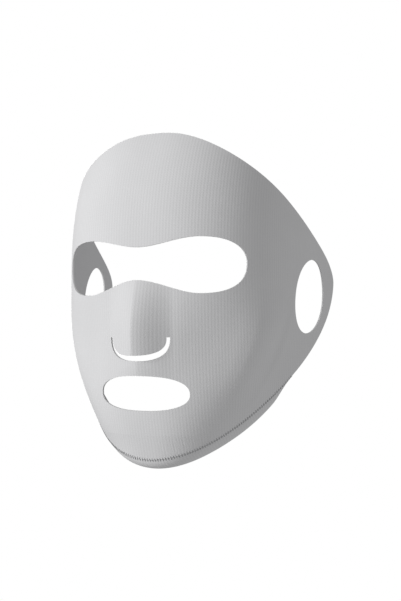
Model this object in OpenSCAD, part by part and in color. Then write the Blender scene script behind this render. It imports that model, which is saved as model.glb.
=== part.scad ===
// Moulded knit face mask, worn over the ears.
//
// A three-layer face panel (outer knit, bonded core, lining knit) is cut with one eye window, a
// mouth window and a U-shaped slit that leaves the nose flap free. Two ear wings fold at the
// temples, and an under-chin panel is sewn on along the jaw.
//
// Frame: the origin is between the wearer's eyes, on the median front of the mask. +Z is up, the
// face looks towards -Y, and the mask is symmetric in X. Left and right are the wearer's, so the
// left wing is on +X. A place on the panel is given by its arc, the length along the cloth from
// the median, and by its height z.

/* [Panel outline] */
// Height of the top edge above the eye line
crown_h = 73.2; // [60:0.1:92]
// Fall of the top edge for each mm of arc, past the rounded crown
temple_fall = 0.568; // [0.45:0.001:0.65]
// Size of the rounded crown
crown_round = 26.4; // [10:0.1:45]
// Arc from the median to the rear tip of an ear wing
tip_arc = 146.3; // [136:0.1:180]
// Height of the rear tip
tip_z = -4.1; // [-15:0.1:5]
// Depth of the chin edge below the eye line
chin_h = 101.1; // [92:0.1:125]
// Arc from the median to the jaw corner, where the chin panel runs out
jaw_arc = 99; // [99:0.1:106]
// Rise of the jaw seam for each mm of arc, far from the chin
jaw_rise = 0.848; // [0.7:0.001:0.95]
// Size of the rounded chin
jaw_round = 80; // [50:1:110]
// Fullness of the wing's lower rear edge
rear_fullness = 0.64; // [0.5:0.001:0.85]

/* [Moulded form] */
// Arc over which the panel turns from the front to the side, at the eye line
round_arc = 98.5; // [80:0.1:125]
// Angle that the panel has turned through at the side
wrap_angle = 80.5; // [66:0.1:84]
// Share of the turning that is even, against eased at both ends
even_turn = 0.26; // [0:0.01:1]
// How far the cheek takes a flatter form, with sharper turns on both sides of it
cheek_form = 0.8; // [0:0.01:1]
// Share of the turning that is done before the flat of the cheek
cheek_flat = 0.4; // [0.3:0.01:0.5]
// Height at which the cheek is flattest
cheek_z = -42; // [-55:1:-30]
// Share of the turning arc lost at the crown
crown_narrow = 0.38; // [0.2:0.01:0.5]
// Share of the turning arc lost at the chin
chin_narrow = 0.7; // [0.5:0.01:0.75]
// Turning angle lost at the crown
crown_unwrap = 30; // [15:0.5:36]
// Turning angle lost at the chin
chin_unwrap = 28; // [15:0.5:36]
// How far the crown leans back
crown_lean = 17; // [8:0.1:24]
// How far the chin sets back
chin_set = 12; // [6:0.1:18]

/* [Layers] */
// Thickness of the outer knit
outer_t = 0.3; // [0.2:0.05:0.6]
// Thickness of the bonded core
core_t = 0.3; // [0.2:0.05:0.8]
// Thickness of the lining knit
lining_t = 0.2; // [0.15:0.05:0.5]

/* [Eye window] */
// Arc from the median to the window's outer end
eye_arc = 58.4; // [48:0.1:70]
// Arc from the median to the widest part of a lobe
lobe_arc = 33; // [24:0.1:40]
// Height of a lobe's upper edge
lobe_top = 15; // [12:0.1:18]
// Depth of a lobe's lower edge
lobe_low = 14.2; // [11:0.1:16.5]
// Height of the window's upper edge on the median
bridge_top = 10.2; // [8:0.1:12]
// Depth of the window's lower edge on the median
bridge_low = 7.2; // [5:0.1:9]
// Height of the window's outer ends
eye_end_z = 1.4; // [0:0.1:4]

/* [Nose and mouth] */
// How far the nose stands proud
nose_h = 9; // [6:0.1:13]
// Arc from the median to the foot of the nose
nose_arc = 19; // [17.6:0.1:24]
// How far the nose's ridge is creased, against rounded
nose_crease = 0.35; // [0:0.01:0.6]
// How far the lip stands proud just below the nose
lip_h = 4; // [0:0.1:6]
// Height at which the nose starts to rise
nose_root_z = 14; // [10:0.5:20]
// Height of the nose tip, and of the line that the flap bends on
nose_tip_z = -36.7; // [-40:0.1:-30]
// Arc from the median to the outer edge of the slit
slit_arc = 17.4; // [14:0.1:17.5]
// Depth of the slit's outer edge below the bend line
slit_drop = 12.3; // [8:0.1:14]
// Width of the slit at its lowest point
slit_w = 2.9; // [1.5:0.1:3.5]
// Width of the slit at its ends
slit_end_w = 1.6; // [1:0.1:3]
// Arc from the median to a corner of the mouth window
mouth_arc = 26.4; // [18:0.1:31]
// Half the height of the mouth window
mouth_half_h = 9.2; // [6:0.1:11]
// Height of the mouth window's centre
mouth_z = -65.8; // [-69:0.1:-61]

/* [Ear openings] */
// Arc from the median to the centre of an opening
ear_arc = 114.3; // [112:0.1:118]
// Height of the opening's centre
ear_z = -13.6; // [-17:0.1:-10]
// Half the width of the opening
ear_half_w = 16; // [11:0.1:16.2]
// Half the length of the opening
ear_half_h = 22.2; // [17:0.1:22.4]
// Lean of the opening's top towards the back
ear_lean = 30; // [10:1:35]

/* [Folds] */
// Arc of the wing fold at the top edge
fold_top_arc = 72; // [66:0.1:76]
// Arc of the wing fold at the jaw edge
fold_jaw_arc = 98.4; // [90:0.1:98.8]
// Gap left at a wing fold
fold_gap = 2.2; // [1.8:0.1:2.6]
// Gap left at the nose flap's bend line
flap_gap = 0.8; // [0.6:0.1:1.2]

/* [Chin panel] */
// How far the panel reaches back from the chin seam, on the median
chin_reach = 33; // [24:0.5:46]
// How far the panel's rear edge rises above the chin seam, on the median
chin_rear_rise = 1; // [-2:0.5:8]
// How far the panel bellies below the seam before it turns back
chin_belly = 12; // [8:0.5:16]
// Gap between the two butted edges at the seam
butt_gap = 0.3; // [0.2:0.05:0.6]

/* [Chin seam] */
// Distance from one stitch to the next
stitch_pitch = 1.8; // [1.5:0.1:4]
// How far a stitch reaches on each side of the seam
stitch_reach = 1; // [0.7:0.1:2]
// Thickness of the thread
thread_d = 0.35; // [0.25:0.05:0.5]

/* [Hidden] */

// Colours of the knit, the core and the threads
knit_colour = [0.80, 0.80, 0.81];
core_colour = [0.90, 0.90, 0.90];
lining_colour = [0.74, 0.74, 0.75];
thread_colour = [0.60, 0.60, 0.61];

// Depths of the layers' faces, from the visible face inwards
core_at = outer_t;
lining_at = outer_t + core_t;
total_t = outer_t + core_t + lining_t;

// Exponents of the eased curves
crown_square = 2.63;
jaw_square = 1.73;
tip_square = 30;
lean_power = 2.6;
set_power = 3.3;
// Shares of the turning arc where the first turn starts, where the flat of the cheek starts and
// ends, and the last turn's own share
first_turn = 0.04;
flat_start = 0.29;
flat_end = 0.59;
last_turn = 0.25;
lobe_square = 2.3;
mouth_square = 2.35;
slit_square = 2.6;
taper_power = 5;
// Share of the half width past which the chin panel straightens towards its corner
straight_from = 0.8;

// Grid of each sheet
face_columns = 28;
face_rows = 20;
wing_columns = 10;
wing_rows = 8;
flap_columns = 8;
flap_rows = 3;
chin_columns = 26;
chin_rows = 5;
// Share by which the columns close up on the nose
nose_crowding = 0.45;

// A window's cutter reaches this far outside and inside the sheet
cut_out = 5;
cut_in = 7;
// The last column of a pointed shape stops this far short of its point
point_stop = 0.15;
// Step for working out a surface's direction
probe = 0.4;
// Height over which the face sheet falls back to the lip, hidden by the slit
lip_start = 2;
// The chin panel stops this far short of the wing fold
chin_end_gap = 1.5;
// Gaps between a stitch and the cloth that it lies on. Inside the mask the cloth is hollow, and
// its flats stand proud of the true curve
needle_lift = 0.05;
looper_lift = 0.5;
// Share of the pitch that a stitch leans along the seam
stitch_lean = 0.5;

// Weights of Simpson's rule over eight steps
simpson = [1, 4, 2, 4, 2, 4, 2, 4, 1];
steps = len(simpson) - 1;

function ease(t) = let (c = max(0, min(1, t))) c * c * (3 - 2 * c);
function mix(a, b, t) = a + (b - a) * t;
function unit(v) = v / norm(v);
function up(z) = max(z, 0) / crown_h;
function down(z) = max(-z, 0) / chin_h;

// Superellipse: the height left at distance t from the middle, for half sizes of 1
function bow(t, power) = pow(max(0, 1 - pow(min(1, abs(t)), power)), 1 / power);

// Rise of a line that starts level and rounds into a slope
function rounded_slope(a, slope, size, power) =
    slope * (pow(pow(a, power) + pow(size, power), 1 / power) - size);

// --- the moulded surface -----------------------------------------------------------------

function turning_arc(z) = round_arc * (1 - crown_narrow * pow(up(z), 2) - chin_narrow * pow(down(z), 2));
function full_turn(z) = wrap_angle - crown_unwrap * pow(up(z), 2) - chin_unwrap * pow(down(z), 2);
// Share of the turning done at share t of its arc: partly even and partly eased, blended at the
// cheek with two eased turns and a flat between them
function cheek_share(z) = cheek_form * (1 + cos(180 * min(1, abs(z / cheek_z - 1)))) / 2;
function cheek_turned(t) =
    cheek_flat * ease((t - first_turn) / (flat_start - first_turn)) + (1 - cheek_flat) * ease((t - flat_end) / last_turn);
function turned(t, z) = mix(even_turn * t + (1 - even_turn) * ease(t), cheek_turned(t), cheek_share(z));
function setback(z) = crown_lean * pow(up(z), lean_power) + chin_set * pow(down(z), set_power);

// Plan position reached after an arc a at height z: the heading's sine and cosine are summed
// by Simpson's rule while the panel turns, and past that it runs straight
function plan(a, z) =
    let (arc = turning_arc(z), turn = full_turn(z), h = min(a, arc) / steps)
    (simpson * [for (i = [0:steps]) let (q = turn * turned(h * i / arc, z)) [cos(q), sin(q)]]) * h / 3
    + max(a - arc, 0) * [cos(turn), sin(turn)];

function nose_rise(z) = ease((nose_root_z - z) / (nose_root_z - nose_tip_z));
function nose_ridge(t) = mix((1 + cos(180 * t)) / 2, pow(1 - t, 1.3), nose_crease);
function nose_width(a) = a < nose_arc ? nose_ridge(a / nose_arc) : 0;
// Below the bend line only the flap keeps the nose's height. The face sheet falls back to the
// lip, which fades out at the mouth window's lower edge
function lip_fade(z) = ease((z - nose_tip_z + slit_drop) / (slit_drop - lip_start));
lip_low = mouth_z - mouth_half_h;
function lip_rise(z) = ease((z - lip_low) / (nose_tip_z - slit_drop - lip_low));
function nose_top(z, flap) = mix(lip_h * lip_rise(z), nose_h * nose_rise(z), flap ? 1 : lip_fade(z));
function nose(a, z, flap) = nose_width(a) * nose_top(z, flap);

function place(s, z, flap = false) =
    let (a = abs(s), p = plan(a, z))
    [sign(s) * p[0], p[1] + setback(z) - nose(a, z, flap), z];

function facing(s, z, flap = false) = unit(cross(
    place(s + probe, z, flap) - place(s - probe, z, flap),
    place(s, z + probe, flap) - place(s, z - probe, flap)
));

// Points at a depth below the visible face, for a grid of [point, facing] pairs
function at_depth(grid, depth) = [for (column = grid) [for (v = column) v[0] - v[1] * depth]];
function surface_grid(spots, flap = false) =
    [for (column = spots) [for (v = column) [place(v[0], v[1], flap), facing(v[0], v[1], flap)]]];

// --- the cut outline ---------------------------------------------------------------------

function crown_edge(a) = crown_h - rounded_slope(a, temple_fall, crown_round, crown_square);
function top_z(a) = mix(tip_z, crown_edge(a), sqrt(1 - pow(a / tip_arc, tip_square)));
function jaw_z(a) = -chin_h + rounded_slope(a, jaw_rise, jaw_round, jaw_square);
function rear_z(a) = mix(tip_z, jaw_z(jaw_arc), pow((tip_arc - a) / (tip_arc - jaw_arc), rear_fullness));
function bottom_z(a) = a < jaw_arc ? jaw_z(a) : rear_z(a);

// The wing fold is straight when seen from the side, from the jaw edge to the top edge
fold_low = place(fold_jaw_arc, bottom_z(fold_jaw_arc));
fold_high = place(fold_top_arc, top_z(fold_top_arc));
function fold_z(t) = mix(fold_low[2], fold_high[2], t);
// Growth of y for each mm of arc
function y_growth(a, z) = sin(full_turn(z) * turned(min(1, a / turning_arc(z)), z));
// Arc at which height z meets the fold, closed in on from a first guess
function to_fold(a, z, y, tries) = tries == 0 ? a :
    to_fold(a + (y - plan(a, z)[1] - setback(z)) / y_growth(a, z), z, y, tries - 1);
function fold_arc(t) = to_fold(mix(fold_jaw_arc, fold_top_arc, t), fold_z(t), mix(fold_low[1], fold_high[1], t), 4);

// A column of spots from the bottom edge to the top edge, whose arc at share t of its height
// is given by a list
function column(arcs) =
    let (rows = len(arcs) - 1, z0 = bottom_z(abs(arcs[0])), z1 = top_z(abs(arcs[rows])))
    [for (j = [0:rows]) [arcs[j], mix(z0, z1, j / rows)]];

// --- sheets and windows ------------------------------------------------------------------

// Closed sheet between two grids of points, outer and inner, with m points in a column
module sheet(outer, inner) {
    n = len(outer);
    m = len(outer[0]);
    back = n * m;
    function at(i, j) = i * m + j;
    faces = [
        for (i = [0:n - 2]) for (j = [0:m - 2]) each [
            [at(i, j), at(i + 1, j + 1), at(i + 1, j)],
            [at(i, j), at(i, j + 1), at(i + 1, j + 1)],
            [back + at(i, j), back + at(i + 1, j), back + at(i + 1, j + 1)],
            [back + at(i, j), back + at(i + 1, j + 1), back + at(i, j + 1)]
        ],
        for (i = [0:n - 2]) each [
            [at(i, 0), at(i + 1, 0), back + at(i + 1, 0)],
            [at(i, 0), back + at(i + 1, 0), back + at(i, 0)],
            [at(i + 1, m - 1), at(i, m - 1), back + at(i, m - 1)],
            [at(i + 1, m - 1), back + at(i, m - 1), back + at(i + 1, m - 1)]
        ],
        for (j = [0:m - 2]) each [
            [at(0, j + 1), at(0, j), back + at(0, j)],
            [at(0, j + 1), back + at(0, j), back + at(0, j + 1)],
            [at(n - 1, j), at(n - 1, j + 1), back + at(n - 1, j + 1)],
            [at(n - 1, j), back + at(n - 1, j + 1), back + at(n - 1, j)]
        ]
    ];
    polyhedron([each [for (c = outer) each c], each [for (c = inner) each c]], faces);
}

module layer(grid, depth, thickness) {
    sheet(at_depth(grid, depth), at_depth(grid, depth + thickness));
}

// Cutter for a window whose edges are given as [arc, lower height, upper height]
module window(edges) {
    grid = surface_grid([for (e = edges) [[e[0], e[1]], [e[0], e[2]]]]);
    sheet(at_depth(grid, -cut_out), at_depth(grid, cut_in));
}

// Sheet with windows cut through it, kept as one faceted solid
module cut_sheet() {
    resize([0, 0, 0]) difference() {
        children(0);
        children([1:$children - 1]);
    }
}

// --- windows of the face panel -----------------------------------------------------------

eye_steps = 7;
lobe_steps = 7;

// Half of the eye window: the bridge widens into a lobe, which ends as a superellipse
function bridge_edge(a, middle, lobe) = mix(middle, lobe, ease(a / lobe_arc));
function lobe_edge(a, lobe) = mix(eye_end_z, lobe, bow((a - lobe_arc) / (eye_arc - lobe_arc), lobe_square));
function eye_edge(a, middle, lobe) = a < lobe_arc ? bridge_edge(a, middle, lobe) : lobe_edge(a, lobe);
eye_half = [
    for (i = [1:eye_steps]) lobe_arc * i / eye_steps,
    for (i = [1:lobe_steps]) mix(lobe_arc, eye_arc - point_stop, sin(90 * i / lobe_steps))
];
eye_arcs = [for (i = [len(eye_half) - 1:-1:0]) -eye_half[i], 0, each eye_half];

module eye_window() {
    window([for (s = eye_arcs) [
        s,
        eye_edge(abs(s), -bridge_low, -lobe_low),
        eye_edge(abs(s), bridge_top, lobe_top)
    ]]);
}

mouth_steps = 14;

module mouth_window() {
    window([for (i = [0:mouth_steps])
        let (s = -(mouth_arc - point_stop) * cos(180 * i / mouth_steps),
            h = mouth_half_h * bow(s / mouth_arc, mouth_square))
        [s, mouth_z - h, mouth_z + h]
    ]);
}

slit_steps = 14;
function slit_outer_z(s) = nose_tip_z - slit_drop * bow(s / slit_arc, slit_square);

// The flap's own room and the slit round it
module nose_window() {
    window([for (i = [0:slit_steps])
        let (s = -(slit_arc - point_stop) * cos(180 * i / slit_steps))
        [s, slit_outer_z(s), nose_tip_z + flap_gap / 2]
    ]);
}

// --- windows of the wings ----------------------------------------------------------------

ear_steps = 16;
ear_cos = cos(ear_lean);
ear_sin = sin(ear_lean);
// Half the opening's extent along the arc
ear_reach = norm([ear_half_w * ear_cos, ear_half_h * ear_sin]);
// Heights at which the leaning ellipse crosses the line at distance d from its centre
ear_a = pow(ear_sin / ear_half_w, 2) + pow(ear_cos / ear_half_h, 2);
function ear_b(d) = 2 * d * ear_sin * ear_cos * (1 / pow(ear_half_h, 2) - 1 / pow(ear_half_w, 2));
function ear_c(d) = pow(d * ear_cos / ear_half_w, 2) + pow(d * ear_sin / ear_half_h, 2) - 1;
function ear_cross(d, side) =
    ear_z + (-ear_b(d) + side * sqrt(max(0, pow(ear_b(d), 2) - 4 * ear_a * ear_c(d)))) / (2 * ear_a);

module ear_window() {
    window([for (i = [0:ear_steps])
        let (d = -(ear_reach - point_stop) * cos(180 * i / ear_steps))
        [ear_arc + d, ear_cross(d, -1), ear_cross(d, 1)]
    ]);
}

// --- grids of the panels -----------------------------------------------------------------

function crowded(f) = f * (1 - nose_crowding + nose_crowding * f * f);

face_spots = [for (i = [0:face_columns])
    let (f = crowded(2 * i / face_columns - 1))
    column([for (j = [0:face_rows]) f * (fold_arc(j / face_rows) - fold_gap / 2)])
];

// Columns close up on the rear tip
wing_spots = [for (i = [0:wing_columns])
    let (f = 1 - pow(1 - i / wing_columns, 1.6))
    column([for (j = [0:wing_rows]) mix(fold_arc(j / wing_rows) + fold_gap / 2, tip_arc - point_stop, f)])
];

flap_half = slit_arc - slit_end_w;
function flap_low_z(s) = nose_tip_z - (slit_drop - slit_w) * bow(s / flap_half, slit_square);
flap_top_z = nose_tip_z - flap_gap / 2;
flap_stop = 1.2;
flap_spots = [for (i = [0:flap_columns])
    let (s = -(flap_half - flap_stop) * cos(180 * i / flap_columns))
    [for (j = [0:flap_rows]) [s, mix(flap_low_z(s), flap_top_z, j / flap_rows)]]
];

// --- the under-chin panel ----------------------------------------------------------------

chin_arc = fold_jaw_arc - chin_end_gap;
jaw_corner = place(chin_arc, jaw_z(chin_arc));
chin_front = place(0, jaw_z(0));
chin_rear = [0, chin_front[1] + chin_reach, chin_front[2] + chin_rear_rise];

// Direction along the jaw seam, and the direction that continues the face below the seam
function seam_way(s) = unit(place(s + probe, jaw_z(abs(s + probe))) - place(s - probe, jaw_z(abs(s - probe))));
function seam_down(s) = unit(cross(seam_way(s), facing(s, jaw_z(abs(s)))));

// The panel's cross-section is a quadratic curve from the seam, bent by a belly point straight
// on from the face, to the rear edge that runs from one jaw corner to the other. At the corners
// the section is a straight line
function chin_ends(f) = [f * jaw_corner[0], mix(chin_rear[1], jaw_corner[1], f * f), mix(chin_rear[2], jaw_corner[2], f * f)];
function chin_place(f, g) =
    let (
        s = f * chin_arc,
        seam = place(s, jaw_z(abs(s))) + seam_down(s) * butt_gap,
        rear = chin_ends(f),
        full = seam + seam_down(s) * chin_belly * (1 - pow(abs(f), taper_power)),
        belly = mix(full, (seam + rear) / 2, ease((abs(f) - straight_from) / (1 - straight_from)))
    )
    seam * pow(1 - g, 2) + belly * 2 * g * (1 - g) + rear * g * g;
// Same step on both sides of a spot, and on one side only at the edges
function chin_facing(f, g) =
    let (df = 0.004, dg = 0.02, g0 = max(0, g - dg), g1 = min(1, g + dg), f0 = max(-1, f - df), f1 = min(1, f + df))
    unit(cross(chin_place(f1, g) - chin_place(f0, g), chin_place(f, g0) - chin_place(f, g1)));

chin_last = 0.985;
chin_grid = [for (i = [0:chin_columns])
    let (f = chin_last * sin(90 * (2 * i / chin_columns - 1)))
    [for (j = [chin_rows:-1:0]) let (g = pow(j / chin_rows, 1.3)) [chin_place(f, g), chin_facing(f, g)]]
];

// --- the chin seam -----------------------------------------------------------------------

// Length of the jaw seam for each unit of f, taken at the middle of one side
function seam_speed(f) = norm(chin_place(f + 0.01, 0) - chin_place(f - 0.01, 0)) / 0.02;
stitch_count = floor(2 * chin_last * seam_speed(0.5) / stitch_pitch);

// A four-sided bar along the line from a to b, with its flat on the cloth that faces n
function bar_ring(p, across, n) = [
    p + across * thread_d / 2,
    p - across * thread_d / 2,
    p - across * thread_d / 2 + n * thread_d,
    p + across * thread_d / 2 + n * thread_d
];
bar_faces = [[0, 3, 2], [0, 2, 1], [4, 5, 6], [4, 6, 7], each [for (k = [0:3]) let (l = (k + 1) % 4) each [
    [k, l, 4 + l], [k, 4 + l, 4 + k]
]]];
function shifted(faces, by) = [for (f = faces) [for (v = f) v + by]];

// One row of stitches: each bar leans along the seam, from the face panel to the chin panel.
// side is 1 on the visible face and -1 on the lining
module stitch_row(depth, side, lift) {
    bars = [for (i = [1:stitch_count - 1])
        let (
            f = chin_last * (2 * i / stitch_count - 1),
            lean = side * stitch_lean / (2 * stitch_count),
            s = (f - lean) * chin_arc,
            z = jaw_z(abs(s)) + stitch_reach,
            upper_n = facing(s, z),
            lower_f = f + lean,
            lower_g = stitch_reach / (2 * chin_belly),
            lower_n = chin_facing(lower_f, lower_g),
            upper = place(s, z) + upper_n * (side * lift - depth),
            lower = chin_place(lower_f, lower_g) + lower_n * (side * lift - depth),
            across = unit(cross(lower - upper, upper_n))
        )
        [each bar_ring(upper, across, upper_n * side), each bar_ring(lower, across, lower_n * side)]
    ];
    order = side < 0 ? bar_faces : [for (f = bar_faces) [f[0], f[2], f[1]]];
    polyhedron(
        [for (b = bars) each b],
        [for (i = [0:len(bars) - 1]) each shifted(order, 8 * i)]
    );
}

// --- sub-parts ---------------------------------------------------------------------------

module face_layer(depth, thickness) {
    cut_sheet() {
        layer(surface_grid(face_spots), depth, thickness);
        eye_window();
        nose_window();
        mouth_window();
    }
}

module wing_layer(depth, thickness) {
    cut_sheet() {
        layer(surface_grid(wing_spots), depth, thickness);
        ear_window();
    }
}

module mirrored_wing_layer(depth, thickness) {
    mirror([1, 0, 0]) wing_layer(depth, thickness);
}

module flap_layer(depth, thickness) {
    layer(surface_grid(flap_spots, true), depth, thickness);
}

module face_outer_knit() { color(knit_colour) face_layer(0, outer_t); }
module face_core() { color(core_colour) face_layer(core_at, core_t); }
module face_lining_knit() { color(lining_colour) face_layer(lining_at, lining_t); }
module left_wing_outer_knit() { color(knit_colour) wing_layer(0, outer_t); }
module left_wing_core() { color(core_colour) wing_layer(core_at, core_t); }
module left_wing_lining_knit() { color(lining_colour) wing_layer(lining_at, lining_t); }
module right_wing_outer_knit() { color(knit_colour) mirrored_wing_layer(0, outer_t); }
module right_wing_core() { color(core_colour) mirrored_wing_layer(core_at, core_t); }
module right_wing_lining_knit() { color(lining_colour) mirrored_wing_layer(lining_at, lining_t); }
module nose_flap_outer_knit() { color(knit_colour) flap_layer(0, outer_t); }
module nose_flap_core() { color(core_colour) flap_layer(core_at, core_t); }
module nose_flap_lining_knit() { color(lining_colour) flap_layer(lining_at, lining_t); }
module chin_outer_knit() { color(knit_colour) layer(chin_grid, 0, outer_t); }
module chin_core() { color(core_colour) layer(chin_grid, core_at, core_t); }
module chin_lining_knit() { color(lining_colour) layer(chin_grid, lining_at, lining_t); }
module seam_needle_thread() { color(thread_colour) stitch_row(0, 1, needle_lift); }
module seam_looper_thread() { color(thread_colour) stitch_row(total_t, -1, looper_lift); }

face_outer_knit();
face_core();
face_lining_knit();
left_wing_outer_knit();
left_wing_core();
left_wing_lining_knit();
right_wing_outer_knit();
right_wing_core();
right_wing_lining_knit();
nose_flap_outer_knit();
nose_flap_core();
nose_flap_lining_knit();
chin_outer_knit();
chin_core();
chin_lining_knit();
seam_needle_thread();
seam_looper_thread();
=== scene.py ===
"""Moulded knit face mask: cloth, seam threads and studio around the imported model.

Lengths are in metres. The origin is between the wearer's eyes on the front of the mask, +Z is
up and the face looks towards -Y. A spot on the cloth is given by its arc, the length along the
cloth from the median, and by its height z.
"""

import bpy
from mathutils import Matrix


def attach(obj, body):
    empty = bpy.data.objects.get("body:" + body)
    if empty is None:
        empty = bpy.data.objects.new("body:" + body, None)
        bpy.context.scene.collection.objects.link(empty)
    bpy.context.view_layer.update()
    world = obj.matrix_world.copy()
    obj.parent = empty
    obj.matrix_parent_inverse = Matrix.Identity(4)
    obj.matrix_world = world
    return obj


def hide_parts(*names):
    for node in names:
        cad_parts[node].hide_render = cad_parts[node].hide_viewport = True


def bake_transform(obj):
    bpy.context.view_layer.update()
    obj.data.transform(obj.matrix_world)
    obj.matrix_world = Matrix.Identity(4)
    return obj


bl_info = {
    "name": "Moulded knit face mask",
    "version": (1, 0, 0),
    "blender": (4, 5, 0),
    "location": "3D View > Sidebar > Mask",
    "description": "Three-layer knit face mask with folding ear wings and a sewn chin panel",
    "category": "Object",
}

import math

import bpy
import numpy as np
from bpy.props import FloatProperty, FloatVectorProperty, PointerProperty
from mathutils import Matrix, Vector
from mathutils.geometry import delaunay_2d_cdt

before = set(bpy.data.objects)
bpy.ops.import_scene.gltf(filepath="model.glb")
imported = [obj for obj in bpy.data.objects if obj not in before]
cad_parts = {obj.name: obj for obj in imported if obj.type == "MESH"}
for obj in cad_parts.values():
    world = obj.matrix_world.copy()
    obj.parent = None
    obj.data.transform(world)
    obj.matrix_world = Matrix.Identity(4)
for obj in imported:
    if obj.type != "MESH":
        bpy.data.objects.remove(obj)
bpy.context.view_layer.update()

# Exponents of the eased curves, as in the part's source
CROWN_SQUARE = 2.63
JAW_SQUARE = 1.73
TIP_SQUARE = 30
LEAN_POWER = 2.6
SET_POWER = 3.3
LOBE_SQUARE = 2.3
MOUTH_SQUARE = 2.35
SLIT_SQUARE = 2.6
CREASE_POWER = 1.3
TAPER_POWER = 5

# The cheek's turns as shares of the turning arc: where the first starts, where the flat behind it
# starts and ends, and how long the last is
FIRST_TURN = 0.04
FLAT_START = 0.29
FLAT_END = 0.59
LAST_TURN = 0.25
# Share of the jaw seam past which the chin panel's section starts to straighten
STRAIGHT_FROM = 0.8

# Weights of Simpson's rule over eight steps
SIMPSON = (1, 4, 2, 4, 2, 4, 2, 4, 1)
# Step for working out a surface's direction
PROBE = 0.0004
# Height below the nose's bend line at which the cloth starts to fall back to the lip
LIP_START = 0.002
# Samples along a curve before it is divided evenly
FINE = 400
# Heights from which the ends of the part line are closed in on
PART_LINE_GUESS = (-0.06, 0.05)
# Distance between rows of an even triangular grid, for each unit of its spacing
ROW_RATIO = 0.866
# Closest that a grid point comes to a cut edge, in spacings
EDGE_CLEARANCE = 0.6
# Points across and back in the chin panel, and the power that crowds its rows to the seam
CHIN_COLUMNS = 221
CHIN_ROWS = 25
CHIN_CROWDING = 1.2
# Visible stitches for each stitch of the part's source, which are further apart
STITCH_CROWDING = 1.22
# How far a stitch's ends sink and its middle rises, in thread thicknesses, and its bow's power
STITCH_SINK = 0.9
STITCH_RISE = 0.45
STITCH_SQUARE = 2.2
# Lean of a knit loop's legs, in rows for each wale across
LOOP_LEAN = 1.4
# Length of thread over which its twist goes round once
THREAD_TWIST = 0.0005
# Point that both lights face
LIGHT_AIM = (0, 0.03, -0.02)


# --- sizes and colours -------------------------------------------------------------------------


def length(name, default, description):
    return FloatProperty(name=name, description=description, default=default, unit="LENGTH", precision=5)


def angle(name, degrees, description):
    return FloatProperty(name=name, description=description, default=math.radians(degrees), subtype="ANGLE")


def share(name, default, description):
    return FloatProperty(name=name, description=description, default=default, precision=3)


def colour(name, default, description):
    return FloatVectorProperty(
        name=name, description=description, default=default, size=3, subtype="COLOR", min=0, max=1
    )


class MaskOutline(bpy.types.PropertyGroup):
    """Edges of the flat cut."""

    crown_h: length("Crown height", 0.0732, "Height of the top edge above the eye line")
    temple_fall: share("Temple fall", 0.568, "Fall of the top edge for each unit of arc")
    crown_round: length("Crown rounding", 0.0264, "Size of the rounded crown")
    tip_arc: length("Tip arc", 0.1463, "Arc from the median to the rear tip of an ear wing")
    tip_z: length("Tip height", -0.0041, "Height of the rear tip")
    chin_h: length("Chin depth", 0.1011, "Depth of the chin edge below the eye line")
    jaw_arc: length("Jaw arc", 0.099, "Arc from the median to the jaw corner")
    jaw_rise: share("Jaw rise", 0.848, "Rise of the jaw seam for each unit of arc")
    jaw_round: length("Jaw rounding", 0.080, "Size of the rounded chin")
    rear_fullness: share("Rear fullness", 0.64, "Fullness of the wing's lower rear edge")


class MaskForm(bpy.types.PropertyGroup):
    """How the cloth is moulded."""

    round_arc: length("Turning arc", 0.0985, "Arc over which the cloth turns to the side, at the eye line")
    wrap_angle: angle("Wrap", 80.5, "Angle that the cloth has turned through at the side")
    even_turn: share("Even turning", 0.26, "Share of the turning that is even, against eased")
    cheek_form: share("Cheek form", 0.8, "How far the cheek is flattened, with sharper turns beside it")
    cheek_flat: share("Cheek flat", 0.4, "Share of the turning done before the flat of the cheek")
    cheek_z: length("Cheek height", -0.042, "Height at which the cheek is flattest")
    crown_narrow: share("Crown narrowing", 0.38, "Share of the turning arc lost at the crown")
    chin_narrow: share("Chin narrowing", 0.7, "Share of the turning arc lost at the chin")
    crown_unwrap: angle("Crown unwrap", 30, "Turning angle lost at the crown")
    chin_unwrap: angle("Chin unwrap", 28, "Turning angle lost at the chin")
    crown_lean: length("Crown lean", 0.017, "How far the crown leans back")
    chin_set: length("Chin set-back", 0.012, "How far the chin sets back")
    nose_h: length("Nose height", 0.009, "How far the nose stands proud")
    nose_arc: length("Nose arc", 0.019, "Arc from the median to the foot of the nose")
    nose_crease: share("Nose crease", 0.35, "How far the nose's ridge is creased, against rounded")
    lip_h: length("Lip height", 0.004, "How far the lip stands proud just below the nose")
    nose_root_z: length("Nose root", 0.014, "Height at which the nose starts to rise")
    nose_tip_z: length("Nose tip", -0.0367, "Height of the nose tip and of the flap's bend line")


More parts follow.
